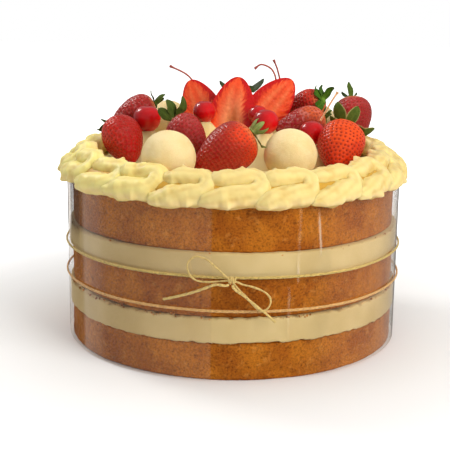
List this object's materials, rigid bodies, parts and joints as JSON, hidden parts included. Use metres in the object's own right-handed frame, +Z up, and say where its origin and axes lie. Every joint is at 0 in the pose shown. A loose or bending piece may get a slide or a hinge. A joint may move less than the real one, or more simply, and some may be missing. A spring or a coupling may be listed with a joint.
{
  "type": "strawberry cake",
  "caption": "Round layer cake in a clear collar tied with twine, with a piped border and a heap of strawberries, pale sweets and cherries on top.",
  "frame": {"origin": "middle of the cake's flat underside", "axes": "+Z up through the cake's middle, -Y towards the bow at the front, +X to the right seen from the front"},
  "size_m": [0.2075, 0.2105, 0.1623],
  "materials": {
    "sponge": "golden brown sponge with an open crumb",
    "cream": "smooth pale filling cream",
    "border_cream": "soft yellow piped cream",
    "collar": "thin clear film",
    "twine": "twisted paper twine",
    "berry": "moist red skin with seeds",
    "cut_berry": "wet cut flesh, pale in the middle",
    "leaf": "dull green leaf with a pale edge",
    "sweet": "pale powdered ball",
    "cherry": "clear red glaze",
    "stem": "thin reddish stalk"
  },
  "bodies": {
    "root": {"sponge_bottom": "sponge", "sponge_middle": "sponge", "sponge_top": "sponge", "cream_lower": "cream", "cream_upper": "cream", "cream_top": "cream", "piped_border": "border_cream", "collar": "collar", "twine_lower": "twine", "twine_upper": "twine", "bow_knot": "twine", "bow_loop_left": "twine", "bow_loop_right": "twine", "bow_tail_left": "twine", "bow_tail_right": "twine", "strawberry_left": "berry", "strawberry_front_left": "berry", "strawberry_behind_sweet": "berry", "strawberry_front": "berry", "strawberry_back_right": "berry", "strawberry_right_inner": "berry", "strawberry_right": "berry", "strawberry_far_right": "berry", "strawberry_middle": "berry", "strawberry_back": "berry", "half_left": "cut_berry", "half_middle": "cut_berry", "half_right": "cut_berry", "strawberry_left_calyx": "leaf", "strawberry_front_left_calyx": "leaf", "strawberry_behind_sweet_calyx": "leaf", "strawberry_front_calyx": "leaf", "strawberry_back_right_calyx": "leaf", "strawberry_right_inner_calyx": "leaf", "strawberry_right_calyx": "leaf", "strawberry_far_right_calyx": "leaf", "strawberry_middle_calyx": "leaf", "strawberry_back_calyx": "leaf", "sweet_front_left": "sweet", "sweet_front_right": "sweet", "sweet_back_left": "sweet", "sweet_back_right": "sweet", "cherry_left": "cherry", "cherry_half_left": "cherry", "cherry_middle": "cherry", "cherry_middle_back": "cherry", "cherry_right": "cherry", "cherry_stem_left": "cherry", "cherry_stem_right": "cherry", "cherry_back": "cherry", "stem_left": "stem", "stem_straight": "stem", "stem_curved": "stem", "stem_right": "stem"}
  },
  "joints": []
}
